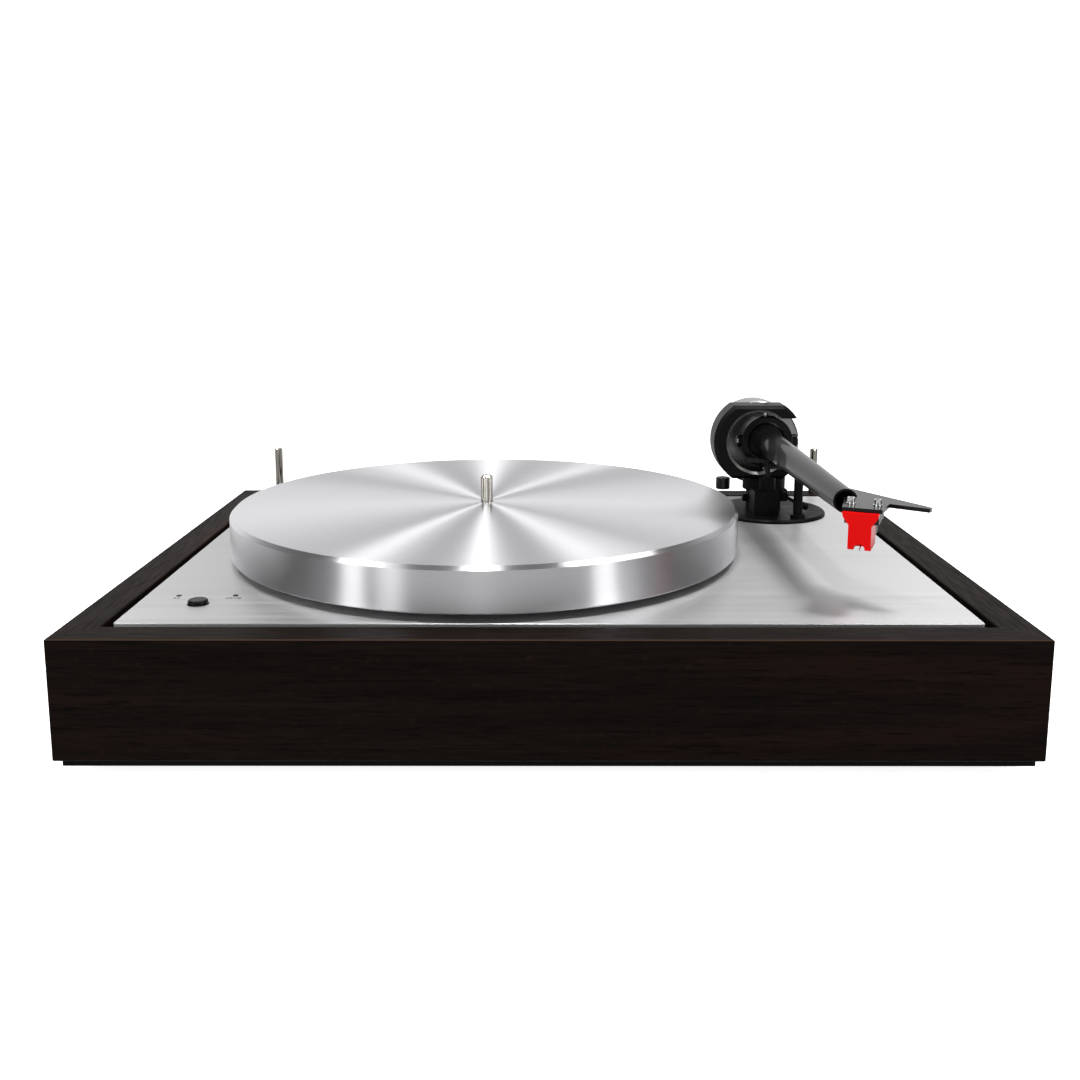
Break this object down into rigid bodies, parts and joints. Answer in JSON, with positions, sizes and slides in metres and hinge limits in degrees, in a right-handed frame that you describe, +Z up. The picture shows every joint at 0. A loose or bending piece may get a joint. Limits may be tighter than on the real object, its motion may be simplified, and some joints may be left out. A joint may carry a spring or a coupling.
{
  "type": "turntable record player",
  "caption": "Belt-driven record player: brushed top plate in a dark wooden frame, plain metal platter, straight tonearm on a ring-shaped yoke, hanging anti-skate weight and red cartridge.",
  "frame": {"origin": "on the table under the middle of the whole footprint, rear sockets included", "axes": "+X to the player's right as seen from its front, +Y to its back, where the sockets are, and +Z up"},
  "size_m": [0.462, 0.351, 0.1461],
  "materials": {
    "veneer": "dark open-grain veneer, satin",
    "black_board": "black board",
    "zinc_screws": "zinc plated",
    "foot_rubber": "moulded, matt",
    "foot_pad": "felt-like soft pad",
    "isolator": "soft elastomer",
    "brushed_plate": "brushed along its width, anodised grey",
    "bearing_metal": "machined",
    "bronze": "sintered bronze",
    "hard_ball": "polished ceramic",
    "polished_steel": "polished",
    "platter_aluminium": "turned, fine circular marks",
    "damping": "soft ring",
    "motor_steel": "dark plated",
    "pulley_aluminium": "turned",
    "belt_rubber": "ground flat",
    "board": "circuit board",
    "button_black": "moulded, glossy",
    "lamp": "small dark lens",
    "panel_metal": "black powder coat",
    "gold": "gold plated",
    "insulator": "black",
    "arm_black": "black satin anodised",
    "nut_steel": "zinc plated",
    "hex_screws": "black oxide",
    "yoke_black": "black, polished bright edges",
    "pivot_steel": "hardened, ground",
    "gimbal_black": "black gloss",
    "tube_black": "carbon fibre under clear coat",
    "cartridge_black": "moulded",
    "cartridge_red": "moulded red, glossy",
    "cantilever_metal": "drawn tube",
    "chrome_screws": "polished",
    "gold_pins": "gold plated",
    "stub_steel": "turned",
    "weight_metal": "turned, polished edges",
    "weight_insert": "black sleeve",
    "platform_black": "rubber coated",
    "lever_black": "black satin",
    "skate_steel": "polished",
    "skate_black": "black, smooth",
    "thread": "nylon thread",
    "lead_black": "sheathed lead"
  },
  "bodies": {
    "base": {"plinth_front": "veneer", "plinth_right": "veneer", "plinth_back": "veneer", "plinth_left": "veneer", "bottom_board": "black_board", "sub_chassis": "black_board", "case_screws": "zinc_screws", "motor_screws": "zinc_screws", "feet": "foot_rubber", "foot_pads": "foot_pad", "isolator_balls": "isolator", "motor_grommets": "isolator", "top_plate": "brushed_plate", "bearing_housing": "bearing_metal", "bearing_bush": "bronze", "thrust_ball": "hard_ball", "lid_rods": "polished_steel", "motor_plate": "motor_steel", "motor_body": "motor_steel", "drive_belt": "belt_rubber", "control_board": "board", "lamps": "lamp", "socket_panel": "panel_metal", "phono_sockets": "gold", "ground_post": "gold", "phono_insulators": "insulator", "power_socket": "insulator", "arm_base": "arm_black", "arm_pillar": "arm_black", "lift_block": "arm_black", "arm_rest": "arm_black", "pillar_nut": "nut_steel", "arm_screws": "hex_screws", "arm_yoke": "yoke_black", "yoke_pivots": "pivot_steel", "skate_wire": "skate_steel", "skate_thread": "thread", "inner_leads": "lead_black"},
    "platter": {"spindle": "polished_steel", "sub_platter": "bearing_metal", "platter": "platter_aluminium", "platter_damping_ring": "damping"},
    "motor_rotor": {"motor_shaft": "polished_steel", "pulley": "pulley_aluminium"},
    "button": {"speed_button": "button_black"},
    "gimbal": {"arm_gimbal": "gimbal_black", "gimbal_pivots": "pivot_steel"},
    "arm": {"bearing_block": "gimbal_black", "arm_tube": "tube_black", "cartridge_body": "cartridge_black", "stylus_unit": "cartridge_red", "cantilever": "cantilever_metal", "cartridge_screws": "chrome_screws", "cartridge_pins": "gold_pins", "rear_stub": "stub_steel"},
    "balance": {"counterweight": "weight_metal", "counterweight_insert": "weight_insert"},
    "cue": {"cue_lever": "lever_black"},
    "lift": {"lift_platform": "platform_black"},
    "skate": {"skate_weight": "skate_black"}
  },
  "joints": [
    {"name": "platter_spin", "type": "hinge", "parent": "base", "child": "platter", "pos_m": [-0.0374, -0.0033, 0.099], "axis": [0, 0, 1], "continuous": true},
    {"name": "motor_spin", "type": "hinge", "parent": "base", "child": "motor_rotor", "pos_m": [-0.13699, 0.0542, 0.084], "axis": [0, 0, 1], "continuous": true},
    {"name": "speed_press", "type": "slide", "parent": "base", "child": "button", "axis": [0, 0, -1], "range_m": [0, 0.001], "stiffness_N_per_m": 400, "springref_m": -0.001},
    {"name": "arm_swing", "type": "hinge", "parent": "base", "child": "gimbal", "pos_m": [0.1495, 0.0967, 0.1209], "axis": [0, 0, 1], "range_deg": [-50, 0]},
    {"name": "arm_tilt", "type": "hinge", "parent": "gimbal", "child": "arm", "pos_m": [0.1495, 0.0967, 0.1209], "axis": [-1, -0.0099, 0], "range_deg": [0, 2.6]},
    {"name": "balance_slide", "type": "slide", "parent": "arm", "child": "balance", "axis": [-0.0099, 1, 0], "range_m": [-0.002, 0.008]},
    {"name": "cue_turn", "type": "hinge", "parent": "base", "child": "cue", "pos_m": [0.1587, 0.0762, 0.086], "axis": [0, -1, 0], "range_deg": [0, 55]},
    {"name": "lift_rise", "type": "slide", "parent": "base", "child": "lift", "axis": [0, 0, 1], "range_m": [0, 0.0009]},
    {"name": "skate_rise", "type": "slide", "parent": "base", "child": "skate", "axis": [0, 0, 1], "range_m": [0, 0.0123], "deforming": ["skate_thread"]}
  ],
  "couplings": [
    {"joint": "motor_spin", "follows": "platter_spin", "ratio": 7.5},
    {"joint": "arm_tilt", "follows": "cue_turn", "ratio": 0.04727},
    {"joint": "lift_rise", "follows": "cue_turn", "m_per_rad": 0.000937},
    {"joint": "skate_rise", "follows": "arm_swing", "m_per_rad": -0.01409}
  ]
}
